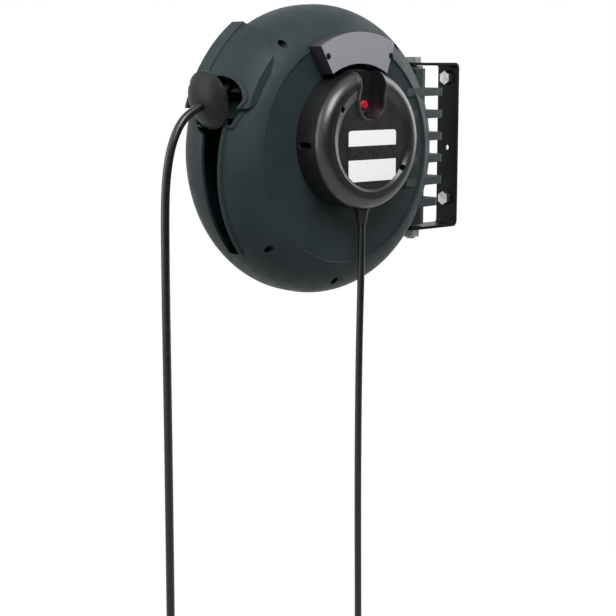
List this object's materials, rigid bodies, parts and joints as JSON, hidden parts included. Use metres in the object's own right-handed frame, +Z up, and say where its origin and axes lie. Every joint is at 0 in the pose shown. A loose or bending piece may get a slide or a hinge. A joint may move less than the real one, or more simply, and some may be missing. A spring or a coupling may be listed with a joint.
{
  "type": "extension cord reel",
  "caption": "Wall-mounted spring-rewind extension cord reel that swivels on a steel bracket, with a cord stopper, a reset button and a supply lead.",
  "frame": {"origin": "back face of the wall bracket's plate, midway between its two bolts", "axes": "+X into the wall, +Y away from the hub-cover side of the reel, +Z up"},
  "size_m": [0.428, 0.149, 0.9565],
  "materials": {
    "housing_plastic": "matt, lightly textured",
    "hub_plastic": "satin",
    "cover_plastic": "glossy",
    "black_steel": "satin black paint",
    "zinc_steel": "zinc plated",
    "dark_screw": "blackened",
    "rubber": "satin",
    "cord_rubber": "smooth sheath",
    "inner_plastic": "moulded",
    "white_plastic": "moulded",
    "label": "printed film",
    "red_plastic": "glossy",
    "brass": "turned",
    "spring_steel": "blued",
    "carbon": "pressed carbon",
    "bronze": "sintered"
  },
  "bodies": {
    "bracket": {"wall_bracket": "black_steel", "wall_bolts": "zinc_steel", "pivot_bolt": "zinc_steel", "pivot_nut": "zinc_steel"},
    "housing": {"front_shell": "housing_plastic", "back_shell": "housing_plastic", "swivel_bushes": "white_plastic", "housing_screws": "dark_screw", "hub_cover": "hub_plastic", "hub_screws": "dark_screw", "arc_cover": "cover_plastic", "arc_cover_screws": "dark_screw", "rating_label": "label", "axle": "zinc_steel", "axle_nut": "zinc_steel", "axle_circlip": "spring_steel", "front_bush": "bronze", "rewind_spring": "spring_steel", "brush_holder": "inner_plastic", "brushes": "carbon", "overload_breaker": "inner_plastic", "breaker_collar": "hub_plastic", "terminal_block": "white_plastic", "supply_gland": "rubber", "guide_frame": "inner_plastic", "roller_pins": "zinc_steel", "stopper_halves": "rubber", "stopper_screws": "dark_screw", "pawl_pin": "zinc_steel", "pawl_spring": "spring_steel", "cable_lead_off": "cord_rubber", "working_cord": "cord_rubber", "coupling_socket": "rubber", "socket_contacts": "brass", "supply_lead": "cord_rubber", "supply_plug": "rubber", "plug_pins": "brass"},
    "drum": {"drum_rear_half": "inner_plastic", "drum_front_half": "inner_plastic", "drum_bushes": "bronze", "cable_core": "cord_rubber", "wound_cable": "cord_rubber", "spring_case": "zinc_steel", "spring_case_cover": "zinc_steel", "ratchet_ring": "zinc_steel", "slip_ring_barrel": "inner_plastic", "slip_rings": "brass"},
    "upper_roller_body": {"upper_roller": "white_plastic"},
    "lower_roller_body": {"lower_roller": "white_plastic"},
    "front_roller_body": {"front_roller": "white_plastic"},
    "rear_roller_body": {"rear_roller": "white_plastic"},
    "pawl_body": {"ratchet_pawl": "zinc_steel"},
    "button_body": {"reset_button": "red_plastic"}
  },
  "joints": [
    {"name": "swivel", "type": "hinge", "parent": "bracket", "child": "housing", "pos_m": [-0.058, 0, 0], "axis": [0, 0, 1], "range_deg": [-90, 65]},
    {"name": "drum_spin", "type": "hinge", "parent": "housing", "child": "drum", "pos_m": [-0.201, -0.016, -0.005], "axis": [0, 1, 0], "continuous": true},
    {"name": "upper_roller_spin", "type": "hinge", "parent": "housing", "child": "upper_roller_body", "pos_m": [-0.31505, -0.016, 0.0691], "axis": [0, 1, 0], "continuous": true},
    {"name": "lower_roller_spin", "type": "hinge", "parent": "housing", "child": "lower_roller_body", "pos_m": [-0.30844, -0.016, 0.05585], "axis": [0, 1, 0], "continuous": true},
    {"name": "front_roller_spin", "type": "hinge", "parent": "housing", "child": "front_roller_body", "pos_m": [-0.30458, -0.0234, 0.06605], "axis": [-0.4462, 0, 0.8949], "continuous": true},
    {"name": "rear_roller_spin", "type": "hinge", "parent": "housing", "child": "rear_roller_body", "pos_m": [-0.30458, -0.0086, 0.06605], "axis": [-0.4462, 0, 0.8949], "continuous": true},
    {"name": "pawl_swing", "type": "hinge", "parent": "housing", "child": "pawl_body", "pos_m": [-0.15, -0.0391, 0.08334], "axis": [0, 1, 0], "range_deg": [0, 19], "stiffness_Nm_per_rad": 0.01},
    {"name": "reset_press", "type": "slide", "parent": "housing", "child": "button_body", "axis": [0, 1, 0], "range_m": [0, 0.002], "stiffness_N_per_m": 400}
  ]
}
